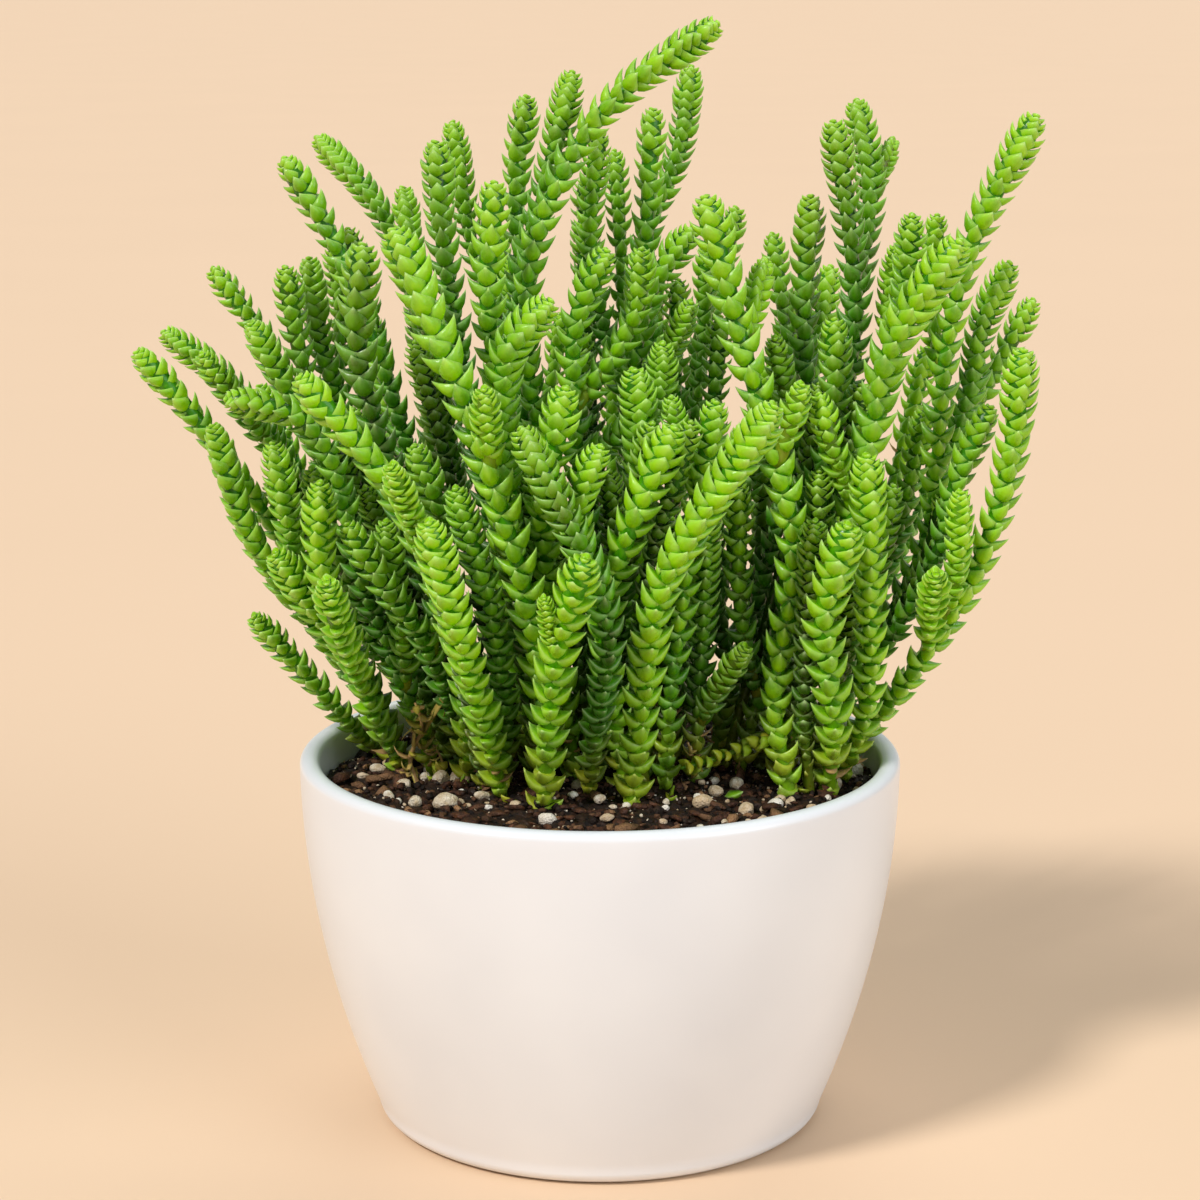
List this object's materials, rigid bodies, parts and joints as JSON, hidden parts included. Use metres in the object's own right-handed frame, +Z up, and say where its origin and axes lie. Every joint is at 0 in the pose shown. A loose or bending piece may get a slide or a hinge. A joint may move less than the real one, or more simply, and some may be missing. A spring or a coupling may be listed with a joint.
{
  "type": "potted watch chain",
  "caption": "Small white bowl pot of soil with a crowded clump of upright, scaly green succulent stems that fan out over the rim.",
  "frame": {"origin": "centre of the flat foot under the pot", "axes": "+Z up along the pot's axis, -Y towards the viewer, +X to the viewer's right"},
  "size_m": [0.1363, 0.1026, 0.1633],
  "materials": {
    "pot_ceramic": "satin",
    "potting_soil": "matte",
    "leafy_stem": "satin"
  },
  "bodies": {
    "root": {"pot": "pot_ceramic", "soil": "potting_soil", "stem_front_1": "leafy_stem", "stem_front_2": "leafy_stem", "stem_front_3": "leafy_stem", "stem_front_4": "leafy_stem", "stem_front_5": "leafy_stem", "stem_front_6": "leafy_stem", "stem_front_7": "leafy_stem", "stem_front_8": "leafy_stem", "stem_front_9": "leafy_stem", "stem_front_10": "leafy_stem", "stem_front_11": "leafy_stem", "stem_front_12": "leafy_stem", "stem_front_13": "leafy_stem", "stem_right_1": "leafy_stem", "stem_right_2": "leafy_stem", "stem_right_3": "leafy_stem", "stem_right_4": "leafy_stem", "stem_right_5": "leafy_stem", "stem_right_6": "leafy_stem", "stem_right_7": "leafy_stem", "stem_right_8": "leafy_stem", "stem_right_9": "leafy_stem", "stem_right_10": "leafy_stem", "stem_right_11": "leafy_stem", "stem_right_12": "leafy_stem", "stem_right_13": "leafy_stem", "stem_crown_1": "leafy_stem", "stem_crown_2": "leafy_stem", "stem_crown_3": "leafy_stem", "stem_crown_4": "leafy_stem", "stem_crown_5": "leafy_stem", "stem_crown_6": "leafy_stem", "stem_crown_7": "leafy_stem", "stem_crown_8": "leafy_stem", "stem_crown_9": "leafy_stem", "stem_crown_10": "leafy_stem", "stem_left_1": "leafy_stem", "stem_left_2": "leafy_stem", "stem_left_3": "leafy_stem", "stem_left_4": "leafy_stem", "stem_left_5": "leafy_stem", "stem_left_6": "leafy_stem", "stem_left_7": "leafy_stem", "stem_left_8": "leafy_stem", "stem_left_9": "leafy_stem", "stem_left_10": "leafy_stem", "stem_left_11": "leafy_stem", "stem_left_12": "leafy_stem", "stem_left_13": "leafy_stem", "stem_back_1": "leafy_stem", "stem_back_2": "leafy_stem", "stem_back_3": "leafy_stem", "stem_back_4": "leafy_stem", "stem_back_5": "leafy_stem", "stem_back_6": "leafy_stem", "stem_back_7": "leafy_stem", "stem_back_8": "leafy_stem", "stem_back_9": "leafy_stem"}
  },
  "joints": []
}
